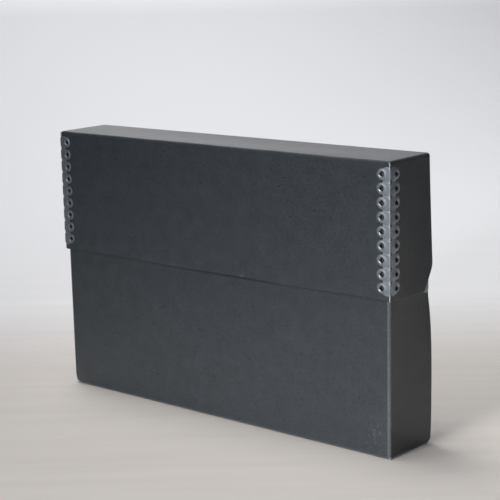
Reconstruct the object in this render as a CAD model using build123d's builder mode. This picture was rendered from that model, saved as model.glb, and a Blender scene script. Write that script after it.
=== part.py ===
"""Slim flip-top document case: one creased archive board, folded and held by four metal corner stays.

The box stands on its long lower edge. +X runs along its front, the front looks along -Y, +Z is up,
and the origin is the middle of its underside. Every length is in millimetres.
"""

import os

from build123d import *

# ---- driving dimensions -------------------------------------------------------------------------

length = 393.7  # over the lid's two end flaps, 15.5 in
depth = 61.5  # front of the lid to the back of the case, a slim case of nearly 2.5 in
height = 260.35  # floor to the top of the lid, 10.25 in

board = 1.27  # thickness of the 0.050 in archive board
fold_radius = 2.5  # outside of a crease
lid_clearance = 0.8  # air between the lid's flaps and the case inside them
crease_gap = 0.2  # slit between case and lid along the hinge crease

lid_skirt = 119.1  # how far the lid's flaps hang down from its top
flap_setback = 1.5  # rear edge of a lid end flap, in front of the box's back
clip_width = 12.0  # the corner cut off each lid end flap, low at the back
clip_height = 24.0
clip_softening = 5.0  # rounding of the clip's two corners
end_corner_radius = 5.0  # rounding of an end panel, low at the back

stay_sheet = 0.4  # tinplate of the corner stays
stay_pitch = 12.17  # from one eyelet to the next
stay_margin = 4.0  # least bare board above and below a lid stay
stay_neck = 7.5  # reach of the strip between two lobes, from the corner
stay_end_radius = 3.5  # rounding of the strip's four outer corners
lobe_rim = 2.9  # width of metal round each eyelet
eyelet_reach = 8.7  # from the box's corner to an eyelet's middle
eyelet_bore = 4.0
eyelet_wall = 0.3  # pierced metal that lines the hole in the board
eyelet_play = 0.05  # between that metal and the board
clinch_lip = 1.1  # the eyelet turned over on the board's inner face, its width and thickness
clinch_sheet = 0.3
slot_width = 2.26  # eye-shaped slots along the stay's bend, across and up
slot_height = 3.5
case_stay_drop = 13.0  # from the top of the box to the top of a rear stay

# ---- places that follow from them ---------------------------------------------------------------

lid_x = length / 2
lid_front = -depth / 2
back = depth / 2
case_x = lid_x - board - lid_clearance
case_front = lid_front + board + lid_clearance
case_top = height - board - lid_clearance
lid_edge = height - lid_skirt
stay_lobes = int((lid_skirt - 2 * stay_margin) / stay_pitch)
stay_length = stay_pitch * stay_lobes
lobe_radius = eyelet_bore / 2 + lobe_rim
eyelet_radius = eyelet_bore / 2 + eyelet_wall
lid_stay_z = height - lid_skirt / 2
case_stay_z = height - case_stay_drop - stay_length / 2
board_hole = eyelet_radius + eyelet_play
far = 2 * max(length, depth, height)  # longer than anything here, for cuts that run right through


# ---- the folded board: whole forms first, then one panel between each pair of creases ------------


def case_block(inset):
    """The closed form of the case, or with the board as inset the space inside it."""
    with BuildPart() as block:
        with Locations((0, (case_front + back) / 2, height / 2)):
            Box(2 * (case_x - inset), back - case_front - 2 * inset, height - 2 * inset)
        front_corners = block.edges().filter_by(Axis.Z).group_by(Axis.Y)[0]
        bottom_edges = block.edges().filter_by(Axis.X).group_by(Axis.Z)[0]
        hinge_edge = block.edges().filter_by(Axis.X).group_by(Axis.Z)[-1].sort_by(Axis.Y)[-1]
        fillet([*front_corners, *bottom_edges, hinge_edge], radius=fold_radius - inset)
    return block.part


def lid_block(inset, run_out=0):
    """The closed form of the lid, or with the board as inset the space inside it. With a run-out
    it goes on past the front and the back."""
    with BuildPart() as block:
        with Locations((0, 0, height / 2)):
            Box(2 * (lid_x - inset), depth - 2 * inset + 2 * run_out, height - 2 * inset)
        fillet(block.edges().group_by(Axis.Z)[-1], radius=fold_radius - inset)
    return block.part


def keep(*planes):
    """Cut the piece being built at each plane and keep what lies on the plane's positive side."""
    for plane in planes:
        split(bisect_by=plane, keep=Keep.TOP)


def eyelet_holes(plane, columns, across, up):
    """Pierce the panel for the stays: columns of holes, `across` apart, centred `up` the panel."""
    with BuildSketch(plane) as holes:
        with Locations((0, up)):
            with GridLocations(across, stay_pitch, columns, stay_lobes):
                Circle(board_hole)
    extrude(holes.sketch, amount=far, both=True, mode=Mode.SUBTRACT)


def above(z):
    return Plane(origin=(0, 0, z), z_dir=(0, 0, 1))


def below(z):
    return Plane(origin=(0, 0, z), z_dir=(0, 0, -1))


with BuildPart() as case_form:
    add(case_block(0))
    add(case_block(board), mode=Mode.SUBTRACT)

with BuildPart() as lid_form:
    add(lid_block(0))
    add(lid_block(board), mode=Mode.SUBTRACT)

with BuildPart() as lid_wrap:  # only the top and the two ends, open at the front and the back
    add(lid_block(0))
    add(lid_block(board, run_out=depth), mode=Mode.SUBTRACT)

# Each crease is a plane at 45 degrees through the fold, its positive side towards the panel named.
front_from_left = Plane(origin=(-case_x, case_front, 0), z_dir=(1, -1, 0))
front_from_right = Plane(origin=(case_x, case_front, 0), z_dir=(-1, -1, 0))
front_from_bottom = Plane(origin=(0, case_front, 0), z_dir=(0, -1, 1))
back_from_bottom = Plane(origin=(0, back, 0), z_dir=(0, 1, 1))
hinge_line = Plane(origin=(0, back, height), z_dir=(0, 1, -1))
back_from_lid = hinge_line.offset(crease_gap / 2)
lid_from_back = (-hinge_line).offset(crease_gap / 2)
top_from_front = Plane(origin=(0, lid_front, height), z_dir=(0, 1, 1))
top_from_left = Plane(origin=(-lid_x, 0, height), z_dir=(1, 0, 1))
top_from_right = Plane(origin=(lid_x, 0, height), z_dir=(-1, 0, 1))

# ---- case: front, two ends, bottom and back ------------------------------------------------------

with BuildPart() as front_panel:
    add(case_form.part)
    keep(front_from_left, front_from_right, front_from_bottom, below(case_top))
    keep(Plane(origin=(0, case_front + 2 * fold_radius, 0), z_dir=(0, -1, 0)))

with BuildPart() as left_end_panel:
    add(case_form.part)
    keep(-front_from_left, above(board), below(case_top))
    with Locations((board - case_x, case_front + fold_radius, 0)):
        Box(far, far, far, align=(Align.MIN, Align.MIN, Align.CENTER), mode=Mode.SUBTRACT)
    low_back = left_end_panel.edges().filter_by(Axis.X).group_by(Axis.Z)[0].sort_by(Axis.Y)[-1]
    fillet(low_back, radius=end_corner_radius)
    eyelet_holes(Plane.YZ.offset(-case_x).shift_origin((-case_x, back - eyelet_reach, 0)),
                 1, 0, case_stay_z)

with BuildPart() as right_end_panel:
    add(left_end_panel.part.mirror(Plane.YZ))

with BuildPart() as bottom_panel:
    add(case_form.part)
    keep(-front_from_bottom, -back_from_bottom, below(height / 2))
    for end_panel in (left_end_panel, right_end_panel):
        add(end_panel.part, mode=Mode.SUBTRACT)

with BuildPart() as back_panel:
    add(case_form.part)
    keep(back_from_bottom, back_from_lid, Plane(origin=(0, 0, 0), z_dir=(0, 1, 0)))
    keep(Plane(origin=(board - case_x, 0, 0), z_dir=(1, 0, 0)))
    keep(Plane(origin=(case_x - board, 0, 0), z_dir=(-1, 0, 0)))
    eyelet_holes(Plane.XZ, 2, 2 * (case_x - eyelet_reach), case_stay_z)

# ---- lid: top, front flap and two end flaps ------------------------------------------------------

with BuildPart() as lid_top_panel:
    add(lid_form.part)
    keep(lid_from_back, top_from_front, top_from_left, top_from_right)

with BuildPart() as lid_left_end_flap:
    add(lid_wrap.part)
    keep(-top_from_left, above(lid_edge))
    keep(Plane(origin=(0, back - flap_setback, 0), z_dir=(0, -1, 0)))
    with Locations((board - lid_x, 0, height - fold_radius)):
        Box(far, far, far, align=(Align.MIN, Align.CENTER, Align.MAX), mode=Mode.SUBTRACT)
    with BuildSketch(Plane.YZ.offset(-lid_x)) as clip:
        low, rear = lid_edge, back - flap_setback
        with BuildLine():
            Polyline((rear - clip_width, low), (rear, low + clip_height), (rear, low), close=True)
        make_face()
    extrude(amount=2 * board, both=True, mode=Mode.SUBTRACT)
    clip_corners = lid_left_end_flap.edges().filter_by(Axis.X).filter_by(
        lambda edge: edge.center().Y > 0 and edge.center().Z < height - lid_skirt / 2)
    fillet(clip_corners, radius=clip_softening)
    eyelet_holes(Plane.YZ.offset(-lid_x).shift_origin((-lid_x, lid_front + eyelet_reach, 0)),
                 1, 0, lid_stay_z)

with BuildPart() as lid_right_end_flap:
    add(lid_left_end_flap.part.mirror(Plane.YZ))

with BuildPart() as lid_front_flap:
    add(lid_form.part)
    keep(-top_from_front, above(lid_edge), Plane(origin=(0, 0, 0), z_dir=(0, -1, 0)))
    keep(Plane(origin=(board - lid_x, 0, 0), z_dir=(1, 0, 0)))
    keep(Plane(origin=(lid_x - board, 0, 0), z_dir=(-1, 0, 0)))
    for end_flap in (lid_left_end_flap, lid_right_end_flap):
        add(end_flap.part, mode=Mode.SUBTRACT)
    eyelet_holes(Plane.XZ, 2, 2 * (lid_x - eyelet_reach), lid_stay_z)

# ---- corner stay ---------------------------------------------------------------------------------
# One stamping, four times. It is drawn round the board's vertical edge at x = y = 0, with the board
# on the +X and +Y sides of that edge and the strip's middle at z = 0.


def eyelet_rings(plane, outer, thickness):
    """A tube of metal round every eyelet of one leg, from the plane into the board."""
    with BuildSketch(plane) as rings:
        with Locations((eyelet_reach, 0)):
            with GridLocations(0, stay_pitch, 1, stay_lobes):
                Circle(outer)
                Circle(eyelet_bore / 2, mode=Mode.SUBTRACT)
    extrude(rings.sketch, amount=-thickness)


with BuildPart() as stay:
    with BuildSketch(Plane.XZ) as leg:
        with Locations((stay_neck / 2, 0)):
            Rectangle(stay_neck, stay_length)
        fillet(leg.vertices().group_by(Axis.X)[-1], radius=stay_end_radius)
        with Locations((eyelet_reach, 0)):
            with GridLocations(0, stay_pitch, 1, stay_lobes):
                Circle(lobe_radius)
                Circle(eyelet_bore / 2, mode=Mode.SUBTRACT)
    extrude(amount=stay_sheet)
    eyelet_rings(Plane.XZ, eyelet_radius, board)
    eyelet_rings(Plane.XZ.offset(-board), eyelet_radius + clinch_lip, clinch_sheet)
    mirror(about=Plane(origin=(0, 0, 0), z_dir=(1, -1, 0)))
    Cylinder(stay_sheet, stay_length)
    Box(stay_sheet, stay_sheet, stay_length, align=(Align.MIN, Align.MIN, Align.CENTER),
        mode=Mode.SUBTRACT)
    with BuildSketch(Plane(origin=(0, 0, 0), x_dir=(-1, 1, 0), z_dir=(1, 1, 0))):
        with GridLocations(0, stay_pitch, 1, stay_lobes + 1):
            Ellipse(slot_width / 2, slot_height / 2)
    extrude(amount=2 * slot_width, both=True, mode=Mode.SUBTRACT)

stay_places = {
    "lid_left_stay": (-lid_x, lid_front, lid_stay_z, 0),
    "lid_right_stay": (lid_x, lid_front, lid_stay_z, 90),
    "case_right_stay": (case_x, back, case_stay_z, 180),
    "case_left_stay": (-case_x, back, case_stay_z, 270),
}

# ---- write one file per piece --------------------------------------------------------------------

pieces = {
    "front_panel": front_panel.part,
    "left_end_panel": left_end_panel.part,
    "right_end_panel": right_end_panel.part,
    "bottom_panel": bottom_panel.part,
    "back_panel": back_panel.part,
    "lid_top_panel": lid_top_panel.part,
    "lid_front_flap": lid_front_flap.part,
    "lid_left_end_flap": lid_left_end_flap.part,
    "lid_right_end_flap": lid_right_end_flap.part,
}
for name, (x, y, z, turn) in stay_places.items():
    with BuildPart() as placed_stay:
        with Locations(Location((x, y, z), (0, 0, turn))):
            add(stay.part)
    pieces[name] = placed_stay.part

os.makedirs("parts", exist_ok=True)
for name, piece in pieces.items():
    piece.label = name
    export_step(piece, f"parts/{name}.step")
    print(f"{name:20s} {piece.volume / 1000:8.2f} cm3, {len(piece.solids())} solid")
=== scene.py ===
# %% [markdown]
# # An archive box folded from one creased board
#
# The real object is a slim flip-top document case. A machine cuts one flat blank of solid board, presses
# creases into it, and it folds up into a case and the lid that covers its upper half. Four strips of
# stamped tinplate, called stays, hold the corners together. Nothing is glued or screwed.
#
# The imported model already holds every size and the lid's hinge. Here each board panel is made again as a
# thin sheet that turns at its creases, with the small bows and open edges that real board has, and each
# stay is made again with its domed lobes and pierced eyelets.

# %% Load the frame
import math

import bpy
import numpy as np
from mathutils import Matrix, Vector


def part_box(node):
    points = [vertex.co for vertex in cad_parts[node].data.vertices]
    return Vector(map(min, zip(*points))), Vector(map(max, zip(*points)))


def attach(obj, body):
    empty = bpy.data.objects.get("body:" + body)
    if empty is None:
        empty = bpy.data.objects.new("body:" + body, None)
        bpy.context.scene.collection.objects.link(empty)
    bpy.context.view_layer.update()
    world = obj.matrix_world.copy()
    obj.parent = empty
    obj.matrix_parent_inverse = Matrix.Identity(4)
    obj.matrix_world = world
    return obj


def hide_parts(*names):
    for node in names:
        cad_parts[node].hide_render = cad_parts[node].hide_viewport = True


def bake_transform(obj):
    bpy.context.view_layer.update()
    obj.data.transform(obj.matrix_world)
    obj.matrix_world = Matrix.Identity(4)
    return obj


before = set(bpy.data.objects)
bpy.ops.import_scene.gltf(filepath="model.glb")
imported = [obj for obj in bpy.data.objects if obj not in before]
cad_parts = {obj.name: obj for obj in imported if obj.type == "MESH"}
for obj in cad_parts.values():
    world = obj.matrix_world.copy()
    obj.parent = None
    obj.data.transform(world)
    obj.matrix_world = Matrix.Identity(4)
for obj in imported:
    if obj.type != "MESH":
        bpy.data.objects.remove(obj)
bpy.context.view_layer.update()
MM = 0.001


def box_mm(node):
    """Lowest and highest corner of a CAD node, in millimetres."""
    low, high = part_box(node)
    return np.array(low) / MM, np.array(high) / MM


# %% [markdown]
# ## Sizes
#
# Every place is read from the frame, so that a changed model changes this one. Only what the frame can't
# tell is written here: the gauge of the board, how tightly it is creased, and how sharp its cut edges are.

# %% Read the sizes, in millimetres
BOARD = 1.27
CREASE = 2.5  # outside radius of a fold
ARRIS = 0.2  # rounding of a cut edge

lid_x = box_mm("lid_right_end_flap")[1][0]
lid_front = box_mm("lid_front_flap")[0][1]
lid_rear = box_mm("lid_right_end_flap")[1][1]
lid_edge = box_mm("lid_front_flap")[0][2]
height = box_mm("lid_top_panel")[1][2]
case_x = box_mm("right_end_panel")[1][0]
case_front = box_mm("front_panel")[0][1]
case_top = box_mm("front_panel")[1][2]
back = box_mm("back_panel")[1][1]
print(f"lid {2 * lid_x:.1f} x {back - lid_front:.1f} x {height:.1f} mm, lower edge {lid_edge:.1f} mm up")

# %% [markdown]
# ## Colour and nodes
#
# Colours are written as the hex values a designer would pick on a screen. Blender works with linear
# light, so one function converts them. One more adds a shader node with its settings and its links.

# %% Colour and node helpers


def linear(hex_colour):
    """The sRGB hex colour as linear red, green, blue and alpha."""
    srgb = np.array([int(hex_colour[i:i + 2], 16) / 255 for i in (1, 3, 5)])
    rgb = np.where(srgb <= 0.04045, srgb / 12.92, ((srgb + 0.055) / 1.055) ** 2.4)
    return (*rgb, 1.0)


def add(tree, kind, links=None, **settings):
    """Add a node. A setting names a property, or else an input socket by its name or number, written as
    in_Scale or in_0. `links` maps an input's name or number to the output socket that feeds it."""
    node = tree.nodes.new("ShaderNode" + kind)
    for key, value in settings.items():
        if key.startswith("in_"):
            socket = key[3:].replace("_", " ")
            node.inputs[int(socket) if socket.isdigit() else socket].default_value = value
        else:
            setattr(node, key, value)
    for socket, source in (links or {}).items():
        tree.links.new(source, node.inputs[socket])
    return node


def new_material(name, **surface):
    """An empty material with a Principled shader, whose plain values are set on its own sockets."""
    material = bpy.data.materials.new(name)
    material.use_nodes = True
    tree = material.node_tree
    tree.nodes.clear()
    shader = add(tree, "BsdfPrincipled", **surface)
    output = add(tree, "OutputMaterial", {"Surface": shader.outputs["BSDF"]})
    output.target = "ALL"
    return material, tree, shader


def ramp(tree, source, *stops):
    """A colour ramp on a value: stops are (place, grey) pairs."""
    node = add(tree, "ValToRGB", {"Fac": source})
    elements = node.color_ramp.elements
    while len(elements) < len(stops):
        elements.new(0.5)
    for element, (place, grey) in zip(elements, stops):
        element.position = place
        element.color = (grey, grey, grey, 1)
    return node.outputs["Color"]


# %% [markdown]
# ## Finish 1: the slate paper face of the board
#
# Archive board is a stack of pulp plies with a dyed paper on each face. Slate grey isn't one colour up
# close: the pulp is a blend of dark and pale fibres, so the paper is mottled, with dark specks a
# millimetre or so long and a few pale ones. Board rubs pale where it is creased, because the dye is only
# skin deep. A flat grey with bump would look like plastic, so the colour is built in layers: broad
# mottling, a finer cloud, specks, a rubbed colour that a point attribute for rubbing brings in along
# the creases, and pale scrapes where a second attribute for scuffs allows them. Below zero both
# attributes mean painted shade: a dark line painted along the lid's lower edge and just below it, where
# the lid's edge casts its shadow. Uncoated paper is rough, yet seen at a low angle its calendered skin
# still shines.

# %% Slate paper
PAPER_DARK = "#2e3439"
PAPER_LIGHT = "#3a4046"
PAPER_RUBBED = "#767c7f"
PAPER_SPECK = "#23282c"
PAPER_FLECK = "#5f696c"
PAPER_SCRAPED = "#8a9193"
# painted shade: the colour of the shadow line painted along and just under the lid's lower edge
PAPER_PAINTED_SHADE = "#15181b"
MOTTLE = 14.0  # widths in millimetres
CLOUD = 2.6
SPECK = 1.4
SCUFF = 3.0
TOOTH = 0.45


def per_mm(width):
    """The scale that gives a pattern on Object coordinates, in metres, that width in millimetres."""
    return 1 / (width * MM)


def slate_paper():
    material, tree, shader = new_material("slate_paper_board", in_Roughness=0.62, in_IOR=1.5)
    place = add(tree, "TexCoord").outputs["Object"]
    mottle = add(tree, "TexNoise", {"Vector": place}, in_Scale=per_mm(MOTTLE), in_Detail=4.0,
                 in_Roughness=0.6).outputs["Fac"]
    cloud = add(tree, "TexNoise", {"Vector": place}, in_Scale=per_mm(CLOUD), in_Detail=3.0,
                in_Roughness=0.7).outputs["Fac"]
    both = add(tree, "Math", {0: mottle, 1: cloud}, operation="ADD").outputs[0]
    blend = ramp(tree, add(tree, "Math", {0: both}, operation="MULTIPLY", in_1=0.5).outputs[0],
                 (0.36, 0.0), (0.64, 1.0))
    colour = add(tree, "Mix", {"Factor": blend}, data_type="RGBA", in_6=linear(PAPER_DARK),
                 in_7=linear(PAPER_LIGHT)).outputs[2]

    stretch = add(tree, "Mapping", {"Vector": place}, in_Rotation=(0.4, 0.7, 0.2),
                  in_Scale=(1.0, 2.2, 1.4)).outputs["Vector"]
    fibre = add(tree, "TexNoise", {"Vector": stretch}, in_Scale=per_mm(SPECK), in_Detail=1.0).outputs["Fac"]
    dark = ramp(tree, fibre, (0.30, 0.75), (0.38, 0.0))
    colour = add(tree, "Mix", {"Factor": dark, 6: colour}, data_type="RGBA",
                 in_7=linear(PAPER_SPECK)).outputs[2]
    pale = ramp(tree, fibre, (0.72, 0.0), (0.78, 0.4))
    colour = add(tree, "Mix", {"Factor": pale, 6: colour}, data_type="RGBA",
                 in_7=linear(PAPER_FLECK)).outputs[2]

    rub_and_shade = add(tree, "Attribute", attribute_name="rub_and_shade").outputs["Fac"]
    patchy = ramp(tree, cloud, (0.25, 0.55), (0.60, 1.0))
    edge_mark = add(tree, "Math", {0: rub_and_shade, 1: patchy}, operation="MULTIPLY", use_clamp=True).outputs[0]
    colour = add(tree, "Mix", {"Factor": edge_mark, 6: colour}, data_type="RGBA",
                 in_7=linear(PAPER_RUBBED)).outputs[2]
    scuff_and_shade = add(tree, "Attribute", attribute_name="scuff_and_shade").outputs["Fac"]
    # Below zero, the rub and scuff attributes darken the paper towards the painted shade colour: a painted
    # shadow line at the lid's lower edge.
    rub_plus_scuff = add(tree, "Math", {0: rub_and_shade, 1: scuff_and_shade}, operation="ADD").outputs[0]
    painted_shade = add(tree, "Math", {0: rub_plus_scuff}, operation="MULTIPLY", in_1=-1.0, use_clamp=True).outputs[0]
    colour = add(tree, "Mix", {"Factor": painted_shade, 6: colour}, data_type="RGBA",
                 in_7=linear(PAPER_PAINTED_SHADE)).outputs[2]
    marks = add(tree, "TexNoise", {"Vector": place}, in_Scale=per_mm(SCUFF), in_Detail=5.0,
                in_Roughness=0.7).outputs["Fac"]
    scraped = add(tree, "Math", {0: scuff_and_shade, 1: ramp(tree, marks, (0.52, 0.0), (0.68, 1.0))},
                  operation="MULTIPLY", use_clamp=True).outputs[0]
    colour = add(tree, "Mix", {"Factor": scraped, 6: colour}, data_type="RGBA",
                 in_7=linear(PAPER_SCRAPED)).outputs[2]
    tree.links.new(colour, shader.inputs["Base Color"])

    tooth = add(tree, "TexNoise", {"Vector": place}, in_Scale=per_mm(TOOTH), in_Detail=3.0).outputs["Fac"]
    grain = add(tree, "Math", {0: tooth, 1: cloud}, operation="ADD").outputs[0]
    bump = add(tree, "Bump", {"Height": grain}, in_Strength=0.5, in_Distance=0.06 * MM)
    tree.links.new(bump.outputs["Normal"], shader.inputs["Normal"])
    gloss = ramp(tree, cloud, (0.3, 0.27), (0.7, 0.37))
    tree.links.new(gloss, shader.inputs["Roughness"])
    return material


# %% [markdown]
# ## Finishes 2 and 3: the white core and the pale liner
#
# Where the blank was die-cut the white pulp shows as a line just over a millimetre wide, faintly layered.
# The inner face is lined with a plain off-white paper.

# %% Core and liner
CORE_WHITE = "#c4cbcd"
CORE_SHADE = "#8f979a"
LINER_WHITE = "#c9cac6"
PLY = 0.3  # thickness of one pulp ply


def pale_paper(name, light, shade, width, bump_mm):
    """Undyed pulp: a soft two-tone noise of that width, and a bump of that height, in millimetres."""
    material, tree, shader = new_material(name, in_Roughness=0.85, in_IOR=1.45)
    place = add(tree, "TexCoord").outputs["Object"]
    pulp = add(tree, "TexNoise", {"Vector": place}, in_Scale=per_mm(width), in_Detail=3.0).outputs["Fac"]
    mix = ramp(tree, pulp, (0.35, 0.0), (0.75, 1.0))
    colour = add(tree, "Mix", {"Factor": mix}, data_type="RGBA", in_6=linear(light),
                 in_7=linear(shade)).outputs[2]
    tree.links.new(colour, shader.inputs["Base Color"])
    bump = add(tree, "Bump", {"Height": pulp}, in_Strength=0.4, in_Distance=bump_mm * MM)
    tree.links.new(bump.outputs["Normal"], shader.inputs["Normal"])
    return material


board_face = slate_paper()
board_core = pale_paper("white_pulp_core", CORE_WHITE, CORE_SHADE, PLY * 3, 0.1)
board_liner = pale_paper("off_white_liner_paper", LINER_WHITE, "#bcbcb6", 5.0, 0.04)

# %% [markdown]
# ## Finish 4: tinplate
#
# The stays are thin mild steel with a tin coating: a grey metal with a satin shine, a little dulled by
# handling. It is fully metallic, and its roughness wanders, so that highlights break up on the lobes.
# Along the bend the tin has crazed and gone matt, which the attribute "bend" marks, and the same attribute
# darkens the bend's colour as painted shade that dims the bend's highlight.

# %% Tinplate
TIN = "#989fa6"
TIN_DULL = "#80878e"
TIN_CRAZED_AND_SHADED = "#6c7379"
SMUDGE = 5.0


def tinplate():
    material, tree, shader = new_material("satin_tinplate", in_Metallic=1.0)
    place = add(tree, "TexCoord").outputs["Object"]
    smudge = add(tree, "TexNoise", {"Vector": place}, in_Scale=per_mm(SMUDGE), in_Detail=4.0,
                 in_Roughness=0.65).outputs["Fac"]
    dull = ramp(tree, smudge, (0.35, 0.0), (0.7, 1.0))
    colour = add(tree, "Mix", {"Factor": dull}, data_type="RGBA", in_6=linear(TIN),
                 in_7=linear(TIN_DULL)).outputs[2]
    # the crazed tin's dull roughness, and a darker colour along the bend as painted shade
    crazed_and_shaded = add(tree, "Attribute", attribute_name="bend").outputs["Fac"]
    colour = add(tree, "Mix", {"Factor": crazed_and_shaded, 6: colour}, data_type="RGBA",
                 in_7=linear(TIN_CRAZED_AND_SHADED)).outputs[2]
    tree.links.new(colour, shader.inputs["Base Color"])
    satin = ramp(tree, smudge, (0.3, 0.36), (0.7, 0.50))
    rough = add(tree, "Math", {0: crazed_and_shaded, 1: satin}, operation="MAXIMUM", use_clamp=True).outputs[0]
    tree.links.new(rough, shader.inputs["Roughness"])
    return material


tin = tinplate()
print("materials:", [m.name for m in bpy.data.materials if m.users or m.node_tree])

# %% [markdown]
# ## From a flat pattern to a closed sheet
#
# Board and tinplate are both sheets, so both are made the same way. A flat pattern is a set of points
# with quads between them. Two functions of the pattern place its upper and its lower face in space. The
# quads are then used twice, once for each face, and every edge that only one quad uses is a cut edge,
# where a strip of quads joins the two faces. The result is closed whatever holes the pattern has.

# %% Close a sheet and make its object


def open_edges(quads):
    """The directed edges (a, b) of the quads that no quad uses the other way round."""
    edges = np.concatenate([quads[:, [i, (i + 1) % 4]] for i in range(4)])
    count = edges.max() + 1
    forward, reverse = edges[:, 0] * count + edges[:, 1], edges[:, 1] * count + edges[:, 0]
    return edges[~np.isin(forward, reverse)]


def sheet_object(name, quads, upper, lower, materials, attributes=None):
    """A closed mesh from a pattern's quads and the places of its upper and lower points, in millimetres.
    `materials` finish the upper face, the lower face and the cut edges."""
    total = len(upper)
    rim = open_edges(quads)
    sides = np.stack([rim[:, 1], rim[:, 0], rim[:, 0] + total, rim[:, 1] + total], axis=1)
    faces = np.concatenate([quads, quads[:, ::-1] + total, sides])
    mesh = bpy.data.meshes.new(name)
    mesh.from_pydata((np.concatenate([upper, lower]) * MM).tolist(), [], faces.tolist())
    for material in materials:
        mesh.materials.append(material)
    slots = np.repeat([0, 1, 2], [len(quads), len(quads), len(sides)])
    mesh.polygons.foreach_set("material_index", slots.astype(np.int32))
    mesh.polygons.foreach_set("use_smooth", np.ones(len(faces), bool))
    for key, values in (attributes or {}).items():
        layer = mesh.attributes.new(key, "FLOAT", "POINT")
        layer.data.foreach_set("value", np.concatenate([values, values]).astype(np.float32))
    mesh.set_sharp_from_angle(angle=math.radians(42))
    mesh.update()
    obj = bpy.data.objects.new(name, mesh)
    bpy.context.scene.collection.objects.link(obj)
    return obj


# %% [markdown]
# ## One creased panel
#
# A panel is a rectangle whose edges are either cut or creased. Away from its edges it is flat. Within
# one crease radius of a creased edge the board turns through 45 degrees, and the next panel turns through
# the other 45, so the two meet on the mitre. With t running from 0 to 1 across that band, the board's
# normal is the flat normal plus t times the direction towards the edge, made unit length: at t = 1 that
# is exactly 45 degrees. The upper point is the bend's centre line plus the radius times that normal, the
# lower point the same with the board's thickness taken off the radius. Where two creases meet, both terms
# add up, and the corner becomes part of a ball.

# %% Panel helpers
AXES = {"x": np.array([1.0, 0, 0]), "y": np.array([0, 1.0, 0]), "z": np.array([0, 0, 1.0])}
HOLE_HALF = 3.4  # half the square of pattern that is cut out round an eyelet hole
HOLE_LINES = np.array([-1, -0.5, 0, 0.5, 1]) * HOLE_HALF
BEND_LINES = np.array([0, 0.2, 0.4, 0.6, 0.8, 1.0, 1.2]) * CREASE
RUBBED_BAND = 3.0  # how far rubbing reaches on each side of a crease
CUT_LINES = np.array([0, 0.15, 0.45, 1.0, 4.5]) * ARRIS


def ramp_up(value, low, high):
    """0 below `low`, 1 above `high`, and a smooth S between."""
    t = np.clip((value - low) / (high - low), 0, 1)
    return t * t * (3 - 2 * t)


def grid_lines(low, high, low_creased, high_creased, holes, more=(), step=9.0):
    """Places of the pattern's grid lines: close together in a bend, at a cut edge, round a hole and at the
    places in `more`, and `step` apart elsewhere."""
    fixed = [low + (BEND_LINES if low_creased else CUT_LINES),
             high - (BEND_LINES if high_creased else CUT_LINES)]
    fixed += [hole + HOLE_LINES for hole in sorted(set(holes))] + [np.array(more, float)]
    fixed = np.unique(np.round(np.concatenate(fixed), 4))
    loose = np.linspace(low, high, max(3, int((high - low) / step)))
    apart = np.abs(loose[:, None] - fixed[None, :]).min(axis=1) > step / 4
    return np.sort(np.concatenate([fixed, loose[apart]]))


def pattern(u_lines, v_lines, holes, hole_radius):
    """Points and quads of a grid, with a round hole at each (u, v) in `holes`."""
    nu, nv = len(u_lines), len(v_lines)
    points = np.stack(np.meshgrid(u_lines, v_lines, indexing="ij"), axis=-1).reshape(-1, 2)
    i, j = np.meshgrid(np.arange(nu - 1), np.arange(nv - 1), indexing="ij")
    first = (i * nv + j).ravel()
    quads = np.stack([first, first + nv, first + nv + 1, first + 1], axis=1)
    centres = points[quads].mean(axis=1)
    side = len(HOLE_LINES) - 1
    for u, v in holes:
        inside = np.abs(centres - (u, v)).max(axis=1) < HOLE_HALF
        quads, centres = quads[~inside], centres[~inside]
        a, b = np.argmin(np.abs(u_lines - (u - HOLE_HALF))), np.argmin(np.abs(v_lines - (v - HOLE_HALF)))
        k = np.arange(side)
        ring_i = np.concatenate([a + k, np.full(side, a + side), a + side - k, np.full(side, a)])
        ring_j = np.concatenate([np.full(side, b), b + k, np.full(side, b + side), b + side - k])
        ring = ring_i * nv + ring_j
        angle = np.arctan2(points[ring, 1] - v, points[ring, 0] - u)
        circle = np.stack([u + hole_radius * np.cos(angle), v + hole_radius * np.sin(angle)], axis=1)
        inner = len(points) + np.arange(len(ring))
        points = np.concatenate([points, circle])
        ring_quads = np.stack([ring, np.roll(ring, -1), np.roll(inner, -1), inner], axis=1)
        quads = np.concatenate([quads, ring_quads])
        centres = points[quads].mean(axis=1)
    used = np.unique(quads)
    renumber = np.zeros(len(points), int)
    renumber[used] = np.arange(len(used))
    return points[used], renumber[quads]


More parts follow.
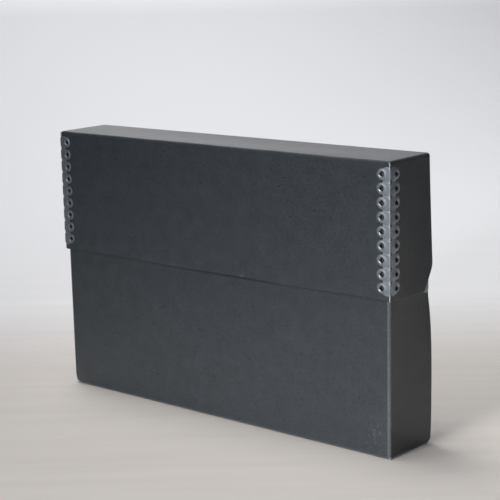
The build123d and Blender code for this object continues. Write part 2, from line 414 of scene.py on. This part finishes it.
def panel(name, node, body, u_axis, v_axis, at, u_span, v_span, creased, rubbed_and_shaded=None, holes=(),
          outline=None, shape=None, more=((), ()), scuffed_and_shaded=None):
    """One board panel as an object that stands for its CAD node.

    u_axis and v_axis are the panel's two directions, and its outside faces along u x v, at the place
    `at` on that axis. `creased` names the creased edges of u-, u+, v- and v+. The per-edge table says how
    worn each edge is, and a value below zero paints a line of shade along that edge instead. `outline(seat)`
    moves pattern points to trim the panel's outline, and `more` adds grid lines where the outline curves.
    `shape(points)` gives how far each point is moved, in millimetres, to bow the panel, and the scuff
    function how scuffed the paper is there, with values below zero for painted shade.
    """
    u_dir, v_dir = AXES[u_axis], AXES[v_axis]
    outward = np.cross(u_dir, v_dir)
    u_lines = grid_lines(*u_span, "u-" in creased, "u+" in creased, [h[0] for h in holes], more[0])
    v_lines = grid_lines(*v_span, "v-" in creased, "v+" in creased, [h[1] for h in holes], more[1])
    flat, quads = pattern(u_lines, v_lines, holes, EYELET_HOLE)

    tilt = np.zeros((len(flat), 3))
    seat = flat.copy()
    rub_and_shade = np.zeros(len(flat))
    drop = np.zeros(len(flat))
    for edge, column, limit, sign in (("u-", 0, u_span[0], -1), ("u+", 0, u_span[1], 1),
                                      ("v-", 1, v_span[0], -1), ("v+", 1, v_span[1], 1)):
        from_edge = (limit - flat[:, column]) * sign
        if edge in creased:
            t = np.clip(1 - from_edge / CREASE, 0, 1)
            tilt += t[:, None] * sign * (u_dir, v_dir)[column]
            seat[:, column] = np.where(t > 0, limit - sign * CREASE, seat[:, column])
            near = ramp_up(RUBBED_BAND - from_edge, 0, RUBBED_BAND - 1.5)
        else:
            near_edge = np.clip(1 - from_edge / ARRIS, 0, 1)
            drop = np.maximum(drop, ARRIS * (1 - np.sqrt(1 - near_edge ** 2)))
            near = np.clip(1 - from_edge / CUT_LINES[-1], 0, 1)
        # A value below zero is painted shade along that edge, not wear.
        edge_mark = near * (rubbed_and_shaded or {}).get(edge, 0.04)
        rub_and_shade = np.where(np.abs(edge_mark) > np.abs(rub_and_shade), edge_mark, rub_and_shade)
    if outline:
        seat = outline(seat)
    normal = outward + tilt
    normal /= np.linalg.norm(normal, axis=1, keepdims=True)
    centre = seat[:, :1] * u_dir + seat[:, 1:] * v_dir + np.abs(outward) * at - outward * CREASE
    upper = centre + (CREASE - drop)[:, None] * normal
    lower = centre + (CREASE - BOARD + drop)[:, None] * normal
    scuff_and_shade = scuffed_and_shaded(upper) if scuffed_and_shaded else np.zeros(len(flat))
    if shape:
        move = shape(upper)
        upper, lower = upper + move, lower + move
    obj = sheet_object(name, quads, upper, lower, (board_face, board_liner, board_core),
                       {"rub_and_shade": rub_and_shade, "scuff_and_shade": scuff_and_shade})
    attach(obj, body)
    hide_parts(node)
    return obj


# %% [markdown]
# ## Where the stays go
#
# A stay has nine lobes, and each lobe is pierced by an eyelet that goes through the board, so the board
# needs its holes in the same places. They are worked out once, from the stays' boxes in the frame.

# %% Places of the eyelets
STAY_LOBES = 9
EYELET_REACH = 8.7  # from the corner of the box to an eyelet's middle
EYELET_HOLE = 2.35  # radius of the hole in the board
lid_stay_low, lid_stay_high = (box[2] for box in box_mm("lid_right_stay"))
case_stay_low, case_stay_high = (box[2] for box in box_mm("case_right_stay"))
stay_pitch = (lid_stay_high - lid_stay_low) / STAY_LOBES


def eyelet_heights(low):
    return low + stay_pitch * (np.arange(STAY_LOBES) + 0.5)


lid_eyelets = [round(z, 4) for z in eyelet_heights(lid_stay_low)]
case_eyelets = [round(z, 4) for z in eyelet_heights(case_stay_low)]
print(f"stay pitch {stay_pitch:.2f} mm, lid eyelets {lid_eyelets[0]:.1f} to {lid_eyelets[-1]:.1f} mm up")

# %% [markdown]
# ## How the box has sprung out of true
#
# Only the stays hold the corners, so wherever a panel's edge is free the board springs out a little. Each
# bow is a smooth function of place, written as a bump that is 1 where the edge is freest and 0 where it
# is held, times how far it has moved.

# %% Bows and flares
LID_FLARE = 4.4  # a lid end flap, low at its free rear edge
END_FLARE = 4.2  # an end panel, at its free rear edge below the stay
TOP_SAG = 0.8
FRONT_BOW = 0.7
SHOULDER_DROP = 0.4
SHOULDER_DEEP = 15.0
NICKS_AT = (-49.0, 35.0)


def wave(points, axis, length, size):
    """A shallow ripple along one axis."""
    return size * np.sin(points[:, axis] * 2 * np.pi / length + 0.7)


def lid_end_shape(side, flare=LID_FLARE):
    def shape(points):
        backwards = ramp_up(points[:, 1], lid_front + 12, lid_rear + 22) / ramp_up(lid_rear, lid_front + 12,
                                                                                  lid_rear + 22)
        downwards = ((height - points[:, 2]) / (height - lid_edge)) ** 1.15
        return np.outer(flare * backwards * downwards, [side, 0, 0])
    return shape


def case_end_shape(side, flare=END_FLARE):
    def shape(points):
        free = case_stay_low - 4
        along = np.clip(1 - np.abs((points[:, 2] - 0.4 * free) / (0.62 * free)) ** 3, 0, 1)
        backwards = np.clip((points[:, 1] - case_front - 8) / (back - case_front - 8), 0, 1) ** 1.6
        return np.outer(flare * along * backwards, [side, 0, 0]) + worn_corner(points)
    return shape


def spot(points, x, z, wide, high):
    """1 at a place on an upright panel, falling to 0 within about twice the given half width and height."""
    return np.exp(-((points[:, 0] - x) / wide) ** 2 - ((points[:, 2] - z) / high) ** 2)


def front_scuffs_and_shade(points):
    """Scuffs low at the right and at the left corner, and, below zero, a painted shadow line just below the
    lid's edge.
    """
    scuffs = 0.55 * spot(points, case_x - 12, 22, 8, 13) + 0.5 * spot(points, 3 - case_x, 3, 7, 6)
    # painted shadow: a dark line just under the lid's edge, darkest near the middle of the front
    below_lid = np.exp(-((points[:, 2] - lid_edge + 0.9) / 1.1) ** 2)
    return scuffs - below_lid * (0.3 + 0.6 * np.exp(-((points[:, 0] - 10) / 75) ** 4))


def worn_corner(points):
    """The case's low left front corner has been knocked round: all of the push is at the corner, and none of
    it 10 mm away. The front, the left end and the bottom all take it, so they stay together."""
    away = np.linalg.norm(points - (-case_x, case_front, 0), axis=1)
    return np.outer(np.clip(1 - away / 10, 0, 1) ** 2, [2.3, 0.6, 1.8])


def front_shape(points):
    across = np.cos(np.clip(points[:, 0] / case_x, -1, 1) * np.pi / 2)
    upright = np.sin(np.clip(points[:, 2] / lid_edge, 0, 1) * np.pi)
    return np.outer(-FRONT_BOW * across * upright, [0, 1, 0]) + worn_corner(points)


def shoulder(points):
    """How far the lid's top has rolled down towards its front crease, the same on the top and the flap."""
    near = np.clip(1 - (points[:, 1] - lid_front) / SHOULDER_DEEP, 0, 1)
    uneven = 1 + 0.35 * np.sin(points[:, 0] / 17) + 0.25 * np.sin(points[:, 0] / 7.3 + 1)
    return SHOULDER_DROP * near ** 2 * uneven * np.clip((lid_x - np.abs(points[:, 0])) / 25, 0, 1)


def nicks(points):
    """1 at the two small nicks in the lid's front edge, and 0 a few millimetres away."""
    return sum(spot(points, x, lid_edge, 1.2, 2.5) for x in NICKS_AT)


def lid_front_shape(points):
    across = np.cos(np.clip(points[:, 0] / lid_x, -1, 1) * np.pi / 2)
    down = (height - points[:, 2]) / (height - lid_edge)
    move = np.zeros_like(points)
    move[:, 1] = -0.9 * across * down ** 1.5
    low = ramp_up(-points[:, 2], -lid_edge - 14, -lid_edge)
    high = ramp_up(points[:, 2], lid_edge, height)
    move[:, 2] = low * wave(points, 0, 150, 0.35) - high * shoulder(points) + 0.7 * nicks(points)
    return move


def top_shape(points):
    across = np.cos(np.clip(points[:, 0] / (lid_x - 4), -1, 1) * np.pi / 2)
    deep = np.cos(np.clip(2 * points[:, 1] / (back - lid_front - 10), -1, 1) * np.pi / 2)
    return np.outer(-TOP_SAG * across * deep - shoulder(points), [0, 0, 1])


def back_shape(points):
    across = np.cos(np.clip(points[:, 0] / (case_x - BOARD), -1, 1) * np.pi / 2)
    upright = np.sin(np.clip(points[:, 2] / height, 0, 1) * np.pi)
    return np.outer(-0.8 * across * upright, [0, 1, 0])


# %% [markdown]
# ## The case
#
# The front turns back into the two ends and into the bottom. The bottom turns up into the back, which
# stands between the ends. The ends stop on the bottom, so the bottom's cut edge shows below them.

# %% Case panels
END_CORNER = 5.0  # rounding of an end panel, low at the back
foot_lines = BOARD + END_CORNER * np.array([0.1, 0.22, 0.36, 0.52, 0.72, 1.0])


def round_low_rear(column_y):
    """Pull the pattern's rear edge in along a quarter circle near its foot."""
    def outline(seat):
        y, z = seat[:, column_y], seat[:, 1 - column_y]
        up = np.clip(1 - (z - BOARD) / END_CORNER, 0, 1)
        pull = END_CORNER * (1 - np.sqrt(1 - up ** 2))
        share = np.clip((y - case_front - CREASE) / (back - case_front - CREASE), 0, 1)
        seat[:, column_y] = y - pull * share ** 6
        return seat
    return outline


# The front's scuffs also carry a painted shadow line just below the lid's edge.
panel("case_front_board", "front_panel", "case", "x", "z", case_front, (-case_x, case_x), (0, case_top),
      {"u-", "u+", "v-"}, rubbed_and_shaded={"u-": 0.7, "u+": 0.72, "v-": 0.35}, shape=front_shape, scuffed_and_shaded=front_scuffs_and_shade,
      more=((), lid_edge + np.array([-3.4, -2.2, -1.4, -0.6, 0.2, 1.4])))
rear_stay_y = back - EYELET_REACH
panel("case_right_end_board", "right_end_panel", "case", "y", "z", case_x, (case_front, back),
      (BOARD, case_top), {"u-"}, rubbed_and_shaded={"u-": 0.72, "u+": 0.2, "v-": 1.3},
      holes=[(rear_stay_y, z) for z in case_eyelets],
      outline=round_low_rear(0), shape=case_end_shape(1), more=((), foot_lines))
panel("case_left_end_board", "left_end_panel", "case", "z", "y", -case_x, (BOARD, case_top),
      (case_front, back), {"v-"}, rubbed_and_shaded={"v-": 0.8, "v+": 0.2},
      holes=[(z, rear_stay_y) for z in case_eyelets],
      outline=round_low_rear(1), shape=case_end_shape(-1, 3.4), more=(foot_lines, ()))
panel("case_bottom_board", "bottom_panel", "case", "y", "x", 0, (case_front, back), (-case_x, case_x),
      {"u-", "u+"}, rubbed_and_shaded={"u-": 0.5, "u+": 0.5}, shape=worn_corner)
rear_stay_x = case_x - EYELET_REACH
panel("case_back_board", "back_panel", "case", "z", "x", back, (0, height), (BOARD - case_x, case_x - BOARD),
      {"u-", "u+"}, rubbed_and_shaded={"u-": 0.5}, holes=[(z, s * rear_stay_x) for s in (-1, 1) for z in case_eyelets],
      shape=back_shape)

# %% [markdown]
# ## The lid
#
# The lid's top carries a flap on three sides. The end flaps run to the very front, and the front flap
# fits between them, so the end flaps' cut edges face forward as two white lines at the corners. Each end
# flap has its low rear corner clipped, so that it doesn't catch the hand that opens the box.

# %% Lid panels
CLIP_WIDTH = 12.0
CLIP_HEIGHT = 24.0
clip_lines = lid_edge + CLIP_HEIGHT * np.array([0.15, 0.3, 0.45, 0.6, 0.7, 0.8, 0.9, 1.0, 1.15])


def clip_low_rear(column_y):
    """Pull the rear edge of a lid end flap forward, in a soft line, over the clip's height."""
    def outline(seat):
        y, z = seat[:, column_y], seat[:, 1 - column_y]
        down = np.clip(1 - (z - lid_edge) / CLIP_HEIGHT, 0, 1)
        pull = CLIP_WIDTH * (np.sqrt(down ** 2 + 0.03) - np.sqrt(0.03)) / (np.sqrt(1.03) - np.sqrt(0.03))
        share = np.clip((y - lid_front) / (lid_rear - lid_front), 0, 1)
        seat[:, column_y] = y - pull * share ** 3
        return seat
    return outline


front_stay_x = lid_x - EYELET_REACH
front_stay_y = lid_front + EYELET_REACH
panel("lid_top_board", "lid_top_panel", "lid", "x", "y", height, (-lid_x, lid_x), (lid_front, back),
      {"u-", "u+", "v-", "v+"}, rubbed_and_shaded={"v-": 0.0, "u+": 0.3, "u-": 0.2}, shape=top_shape)
# Below zero on the flaps' lower cut edges: a painted shade line along the lid's lower edge.
panel("lid_front_board", "lid_front_flap", "lid", "x", "z", lid_front, (BOARD - lid_x, lid_x - BOARD),
      (lid_edge, height), {"v+"}, rubbed_and_shaded={"v+": 0.0, "v-": -0.85},
      holes=[(s * front_stay_x, z) for s in (-1, 1) for z in lid_eyelets], shape=lid_front_shape,
      more=(np.add.outer(NICKS_AT, [-3, -1.2, 0, 1.2, 3]).ravel(), ()), scuffed_and_shaded=nicks)
panel("lid_right_end_board", "lid_right_end_flap", "lid", "y", "z", lid_x, (lid_front, lid_rear),
      (lid_edge, height), {"v+"}, rubbed_and_shaded={"v-": -0.7, "v+": 0.3},
      holes=[(front_stay_y, z) for z in lid_eyelets],
      outline=clip_low_rear(0), shape=lid_end_shape(1), more=((), clip_lines))
panel("lid_left_end_board", "lid_left_end_flap", "lid", "z", "y", -lid_x, (lid_edge, height),
      (lid_front, lid_rear), {"u+"}, rubbed_and_shaded={"u-": -0.7, "u+": 0.2},
      holes=[(z, front_stay_y) for z in lid_eyelets],
      outline=clip_low_rear(1), shape=lid_end_shape(-1, 3.0), more=(clip_lines, ()))

# %% [markdown]
# ## The hinge crease
#
# The lid turns on nothing but a crease: the board's outer paper bends and its core breaks. The two panels
# are rigid pieces here, so a thin strip of the same paper lies over the crease and bends between them. Its
# profile is a quarter circle with a short flat tail on each side, carried along the length of the box.

# %% Hinge strip
STRIP_TAIL = 4.0
STRIP_PROUD = 0.07
STRIP_THICK = 0.2


def hinge_strip():
    turn = np.linspace(0, np.pi / 2, 13)
    y = np.concatenate([[back] * 3, back - CREASE * (1 - np.cos(turn)), back - CREASE - np.array([1, 2, 3])
                        * STRIP_TAIL / 3])
    z = np.concatenate([height - CREASE - np.array([3, 2, 1]) * STRIP_TAIL / 3,
                        height - CREASE * (1 - np.sin(turn)), [height] * 3])
    normal_angle = np.concatenate([np.zeros(3), turn, np.full(3, np.pi / 2)])
    normal = np.stack([np.zeros_like(y), np.cos(normal_angle), np.sin(normal_angle)], axis=1)
    across = np.linspace(-(case_x - BOARD), case_x - BOARD, 45)
    line = np.stack([np.zeros_like(y), y, z], axis=1)
    tuck = np.minimum(np.arange(len(y)), np.arange(len(y))[::-1]) / 2
    lift = STRIP_PROUD * (2 * np.clip(tuck, 0, 1) - 1)
    upper = line + lift[:, None] * normal
    grid = np.repeat(upper[None], len(across), axis=0)
    grid[:, :, 0] = across[:, None]
    below = grid - STRIP_THICK * normal[None]
    i, j = np.meshgrid(np.arange(len(across) - 1), np.arange(len(y) - 1), indexing="ij")
    first = (i * len(y) + j).ravel()
    quads = np.stack([first, first + 1, first + len(y) + 1, first + len(y)], axis=1)[:, ::-1]
    rub_and_shade = np.full(grid.shape[0] * grid.shape[1], 0.2)
    obj = sheet_object("hinge_crease_paper", quads, grid.reshape(-1, 3), below.reshape(-1, 3),
                       (board_face, board_face, board_face), {"rub_and_shade": rub_and_shade})
    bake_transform(obj)
    return obj


hinge_strip()

# %% [markdown]
# ## The stays
#
# Each stay starts as a strip of tinplate with a row of lobes down both sides. A die domes each lobe and
# pierces its middle, pushing four petals back through the board, where they are clinched flat. The strip
# is then bent down its middle, where a row of eye-shaped slots makes the bend easy.
#
# One lobe is a ring of rays round its eyelet. Each ray runs from the clinched tip of a petal, up through
# the eyelet, over the dome and out to the lobe's outline, so a lobe is one grid: angle by distance.
# The outline is followed with straight runs and arcs: down the bend, round half a slot, along the border
# with the next lobe, out through the notch and round the lobe. Lobes then share their border points.

# %% Pattern of one lobe
TINPLATE = 0.4
NECK = 7.2  # from the bend to the bottom of the notch between two lobes
LOBE_RADIUS = 4.9
SLOT_HALF_WIDTH = 1.55
SLOT_HALF_HEIGHT = 1.75
BEND_RADIUS = 0.55
BEND_START = BEND_RADIUS - TINPLATE

# From the clinched petal out to the lobe: radius and depth below the strip's outer face, first of the
# outer face of the metal and then of its inner face.
EYELET_PROFILE = np.array([
    (3.10, 1.95, 3.10, 1.70), (2.30, 1.93, 2.45, 1.68), (1.72, 1.60, 2.05, 1.45), (1.78, 1.00, 2.12, 1.00),
    (2.00, 0.42, 2.28, 0.62), (2.32, 0.04, 2.50, 0.40), (2.75, -0.22, 2.80, 0.18), (3.30, -0.24, 3.30, 0.16),
    (3.85, -0.12, 3.85, 0.28)])


def half_outline(is_end):
    """Points of the lower half of a lobe's outline, round its eyelet, from the bend to the lobe's tip."""
    half = stay_pitch / 2
    slot = np.linspace(np.arcsin(BEND_START / SLOT_HALF_WIDTH), np.pi / 2, 6)
    arc = np.stack([SLOT_HALF_WIDTH * np.sin(slot), -half + SLOT_HALF_HEIGHT * np.cos(slot)], axis=1)
    straight = np.stack([np.full(5, BEND_START), np.linspace(0, arc[0, 1], 6)[:-1]], axis=1)
    if is_end:
        border = np.array([(2.6, -half - 0.05), (4.0, -half + 0.1), (5.6, -half + 0.4), (7.0, -half + 0.95)])
        angle = np.radians(np.linspace(-92, 0, 15))
        radius = np.linspace(4.45, LOBE_RADIUS - 0.5, 15)
    else:
        border = np.stack([np.linspace(SLOT_HALF_WIDTH, NECK, 5)[1:], np.full(4, -half)], axis=1)
        angle = np.radians(np.linspace(-104, 0, 15))
        radius = np.full(15, LOBE_RADIUS)
    tip = np.stack([EYELET_REACH + radius * np.cos(angle), radius * np.sin(angle)], axis=1)
    return np.concatenate([straight, arc, border, tip])


def lobe_outline(end_below, end_above):
    """The whole outline, anticlockwise from the bend's middle, as its lower half and the upper mirrored."""
    lower, upper = half_outline(end_below), half_outline(end_above)[::-1] * (1, -1)
    return np.concatenate([lower, upper[1:-1]])


def lobe(centre_height, end_below, end_above):
    """Upper points, lower points and quads of one lobe, as (distance from bend, height, depth)."""
    outline = lobe_outline(end_below, end_above)
    spoke = outline - (EYELET_REACH, 0)
    reach = np.hypot(spoke[:, 0], spoke[:, 1])
    way = spoke / reach[:, None]
    angle = np.arctan2(way[:, 1], way[:, 0])
    petal = 1 + 0.10 * np.cos(4 * angle)
    rings = []
    for radius_up, depth_up, radius_down, depth_down in EYELET_PROFILE:
        share = petal if radius_up < 2.5 or depth_up > 1 else np.ones_like(petal)
        rings.append((radius_up * share, np.full_like(reach, depth_up),
                      radius_down * share, np.full_like(reach, depth_down)))
    start, depth_start = EYELET_PROFILE[-1, 0], EYELET_PROFILE[-1, 1]
    for part, depth in ((0.3, 0.3 * depth_start), (0.65, 0.0), (0.93, 0.0), (1.0, 0.08)):
        radius = start + (reach - start) * part
        rings.append((radius, np.full_like(reach, depth), radius, np.full_like(reach, TINPLATE)))
    up, down = [], []
    for radius_up, depth_up, radius_down, depth_down in rings:
        for store, radius, depth in ((up, radius_up, depth_up), (down, radius_down, depth_down)):
            store.append(np.stack([EYELET_REACH + way[:, 0] * radius, centre_height + way[:, 1] * radius,
                                   depth], axis=1))
    up, down = np.array(up), np.array(down)
    count = len(outline)
    i, j = np.meshgrid(np.arange(len(rings) - 1), np.arange(count), indexing="ij")
    here, following = (i * count + j).ravel(), (i * count + (j + 1) % count).ravel()
    quads = np.stack([here, here + count, following + count, following], axis=1)
    return up.reshape(-1, 3), down.reshape(-1, 3), quads


# %% [markdown]
# The two legs and the bend are put together in one corner's own frame: the box's corner is at the origin
# and the board lies towards +x and +y. Points that coincide are merged, so the stay is one closed sheet.

# %% Whole stay


def weld(upper, lower, quads):
    """Merge pattern points whose upper and lower places are both the same to a hundredth of a millimetre."""
    key = np.round(np.concatenate([upper, lower], axis=1) * 100).astype(int)
    _, first, number = np.unique(key, axis=0, return_index=True, return_inverse=True)
    return upper[first], lower[first], number.reshape(-1)[quads]


def stay_sheet():
    ups, downs, quads, count = [], [], [], 0

    def keep(up, down, faces):
        nonlocal count
        ups.append(up)
        downs.append(down)
        quads.append(faces + count)
        count += len(up)

    rows = (np.arange(STAY_LOBES) - (STAY_LOBES - 1) / 2) * stay_pitch
    for k, row in enumerate(rows):
        up, down, faces = lobe(row, k == 0, k == STAY_LOBES - 1)
        front = [p[:, [0, 2, 1]] - (0, TINPLATE, 0) for p in (up, down)]
        keep(*front, faces)
        keep(*[p[:, [1, 0, 2]] for p in front], faces[:, ::-1])
        edge = half_outline(False)[:6, 1]
        edge = np.concatenate([edge, -edge[1:]])
        edge = np.sort(edge) + row
        turn = np.linspace(0, np.pi / 2, 6)
        grid_turn, grid_z = np.meshgrid(turn, edge, indexing="ij")
        bend = []
        for radius in (BEND_RADIUS, BEND_RADIUS - TINPLATE):
            x = BEND_START - radius * np.sin(grid_turn)
            y = BEND_START - radius * np.cos(grid_turn)
            bend.append(np.stack([x, y, grid_z], axis=-1).reshape(-1, 3))
        i, j = np.meshgrid(np.arange(len(turn) - 1), np.arange(len(edge) - 1), indexing="ij")
        first = (i * len(edge) + j).ravel()
        keep(*bend, np.stack([first, first + 1, first + len(edge) + 1, first + len(edge)], axis=1))
    return weld(np.concatenate(ups), np.concatenate(downs), np.concatenate(quads))


stay_up, stay_down, stay_quads = stay_sheet()
print(f"stay pattern: {len(stay_up)} points, {len(stay_quads)} quads, open edges {len(open_edges(stay_quads))}")


def place_stay(name, body, corner_x, corner_y, low, quarter_turns):
    """One stay, turned about the vertical by quarter turns and set on its corner of the box."""
    turn = np.linalg.matrix_power(np.array([[0, -1, 0], [1, 0, 0], [0, 0, 1]]), quarter_turns)
    corner = np.array([corner_x, corner_y, low + stay_pitch * STAY_LOBES / 2])
    upper, lower = stay_up @ turn.T + corner, stay_down @ turn.T + corner
    bend = np.clip((BEND_START - stay_up[:, :2].max(axis=1)) / (BEND_RADIUS / 2), 0, 0.8)
    obj = sheet_object(name + "_tinplate", stay_quads, upper, lower, (tin, tin, tin), {"bend": bend})
    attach(obj, body)
    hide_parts(name)


place_stay("lid_left_stay", "lid", -lid_x, lid_front, lid_stay_low, 0)
place_stay("lid_right_stay", "lid", lid_x, lid_front, lid_stay_low, 1)
place_stay("case_right_stay", "case", case_x, back, case_stay_low, 2)
place_stay("case_left_stay", "case", -case_x, back, case_stay_low, 3)

# %% [markdown]
# ## The camera
#
# A long lens a little over a metre away, above the box and to its right, leaning very slightly.

# %% Camera
CAMERA_PLACE = Vector((0.84106, -0.98883, 0.43420))
CAMERA_TURN = math.radians(-39.72)  # from +Y, towards +X
CAMERA_TILT = math.radians(-12.06)
CAMERA_ROLL = math.radians(-1.26)
LENS_MM = 101.75


def set_camera():
    forward = Vector((math.sin(CAMERA_TURN) * math.cos(CAMERA_TILT),
                      math.cos(CAMERA_TURN) * math.cos(CAMERA_TILT), math.sin(CAMERA_TILT)))
    level = forward.cross(Vector((0, 0, 1))).normalized()
    upright = level.cross(forward)
    right = level * math.cos(CAMERA_ROLL) + upright * math.sin(CAMERA_ROLL)
    up = upright * math.cos(CAMERA_ROLL) - level * math.sin(CAMERA_ROLL)
    data = bpy.data.cameras.new("camera")
    data.lens = LENS_MM
    data.sensor_width = 36
    camera = bpy.data.objects.new("camera", data)
    turn = Matrix((right, up, -forward)).transposed()
    camera.matrix_world = Matrix.Translation(CAMERA_PLACE) @ turn.to_4x4()
    bpy.context.scene.collection.objects.link(camera)
    bpy.context.scene.camera = camera


set_camera()

# %% [markdown]
# ## The studio
#
# A paper backdrop sweeps from the floor up into a wall, so there is no line behind the box. Its profile is
# a flat run, a quarter circle and an upright run, carried sideways. Three soft lights share the work: one
# with a narrow spread faces the box from low in front, one washes the wall from above on the left, and one
# lights the floor behind the box. A dim bluish surround fills the rest.

# %% Backdrop and lights
SWEEP_START = 0.3  # how far behind the box the floor starts to rise
SWEEP_RADIUS = 2.2
# The paper's colour at distances along the sweep, in metres: a warm table, then the wall, with painted light
# and shade graded into it on top of the lamps' own fall-off. Higher up it is white again, painted brighter
# as a bright band for the box's top to reflect.
GRADE = ((0.16, "#e7e0d9"), (0.42, "#f4f3f3"), (0.82, "#e8e8ea"), (1.18, "#dcdcde"), (1.49, "#d3d3d6"),
         (1.65, "#f2f2f3"))
GRADE_END = 2.0
SURROUND = 0.17
DARK_SIDE = (0.94, -0.34, 0.0)  # the studio is dark in this direction, which the box's right end faces
STREAK = 22.0  # the width of the table's brush marks, in millimetres
STREAK_LONG = 12.0  # their length for that width
STREAK_END = 0.75  # how far along the sweep they have faded out


def backdrop():
    """A flat run, a quarter circle and an upright run, carried sideways, facing the camera. The attribute
    "run" holds each point's distance along the profile, in metres from below the box."""
    turn = np.linspace(0, np.pi / 2, 33)
    depth = np.concatenate([[-4.0, -1.0, 0], SWEEP_START + SWEEP_RADIUS * np.sin(turn),
                            [SWEEP_START + SWEEP_RADIUS]])
    rise = np.concatenate([[0, 0, 0], SWEEP_RADIUS * (1 - np.cos(turn)), [4.0]])
    run = np.concatenate([[0], np.cumsum(np.hypot(np.diff(depth), np.diff(rise)))]) - 4.0
    away = np.array([math.sin(CAMERA_TURN), math.cos(CAMERA_TURN)])
    across = np.array([away[1], -away[0]])
    side = np.array([-5.0, 5.0])
    flat = depth[None, :, None] * away + side[:, None, None] * across
    points = np.concatenate([flat, np.broadcast_to(rise[None, :, None], (2, len(rise), 1))], axis=2)
    j = np.arange(len(depth) - 1)
    quads = np.stack([j, j + len(depth), j + len(depth) + 1, j + 1], axis=1)
    mesh = bpy.data.meshes.new("backdrop")
    mesh.from_pydata(points.reshape(-1, 3).tolist(), [], quads.tolist())
    mesh.polygons.foreach_set("use_smooth", np.ones(len(quads), bool))
    mesh.attributes.new("run", "FLOAT", "POINT").data.foreach_set("value", np.tile(run, 2))
    obj = bpy.data.objects.new("backdrop", mesh)
    bpy.context.scene.collection.objects.link(obj)
    material, tree, shader = new_material("backdrop_paper", in_Roughness=0.9)
    run_in = add(tree, "Attribute", attribute_name="run").outputs["Fac"]
    place = add(tree, "Math", {0: run_in}, operation="DIVIDE", in_1=GRADE_END).outputs[0]
    colours = add(tree, "ValToRGB", {"Fac": place})
    elements = colours.color_ramp.elements
    for _ in GRADE[2:]:
        elements.new(0.5)
    for element, (run_at, grade_tone) in zip(elements, GRADE):
        element.position = run_at / GRADE_END
        element.color = linear(grade_tone)
    place = add(tree, "Mapping", {"Vector": add(tree, "TexCoord").outputs["Object"]},
                vector_type="TEXTURE", in_Rotation=(0, 0, -CAMERA_TURN),
                in_Scale=(STREAK_LONG, 1.0, 1.0)).outputs["Vector"]
    streaks = add(tree, "TexNoise", {"Vector": place}, in_Scale=per_mm(STREAK), in_Detail=3.0).outputs["Fac"]
    near = add(tree, "MapRange", {"Value": run_in}, in_From_Max=STREAK_END, in_To_Min=0.07, in_To_Max=0.0)
    share = add(tree, "Math", {0: ramp(tree, streaks, (0.4, 0.0), (0.7, 1.0)), 1: near.outputs["Result"]},
                operation="MULTIPLY").outputs[0]
    colour = add(tree, "Mix", {"Factor": share, 6: colours.outputs["Color"]}, data_type="RGBA",
                 in_7=linear("#807a74")).outputs[2]
    tree.links.new(colour, shader.inputs["Base Color"])
    mesh.materials.append(material)


def softbox(name, place, aim, size, power, spread):
    light = bpy.data.lights.new(name, "AREA")
    light.spread = math.radians(spread)
    light.shape = "RECTANGLE"
    light.size, light.size_y = size
    light.energy = power
    obj = bpy.data.objects.new(name, light)
    obj.location = place
    obj.rotation_euler = (Vector(aim) - Vector(place)).to_track_quat("-Z", "Y").to_euler()
    bpy.context.scene.collection.objects.link(obj)


backdrop()
softbox("gridded_front", (0.1, -1.9, 0.55), (0.33, 0, -0.06), (0.9, 0.7), 2.26, 32)
softbox("wall_wash", (-1.2, 0.0, 2.2), (-1.4, 1.2, 1.2), (1.6, 0.8), 15.7, 120)
softbox("rear_pool", (-0.7, 0.2, 2.4), (-0.3, 0.75, 0.0), (1.8, 0.8), 9.0, 80)

world = bpy.data.worlds.new("studio")
world.use_nodes = True
surround = world.node_tree
background = surround.nodes["Background"]
background.inputs["Color"].default_value = linear("#d4deef")
direction = add(surround, "TexCoord").outputs["Generated"]
to_dark_side = add(surround, "VectorMath", {0: direction}, operation="DOT_PRODUCT",
                   in_1=DARK_SIDE).outputs["Value"]
surround.links.new(ramp(surround, to_dark_side, (0.3, SURROUND), (0.8, 0.02)), background.inputs["Strength"])
bpy.context.scene.world = world
bpy.context.scene.view_settings.view_transform = "Standard"
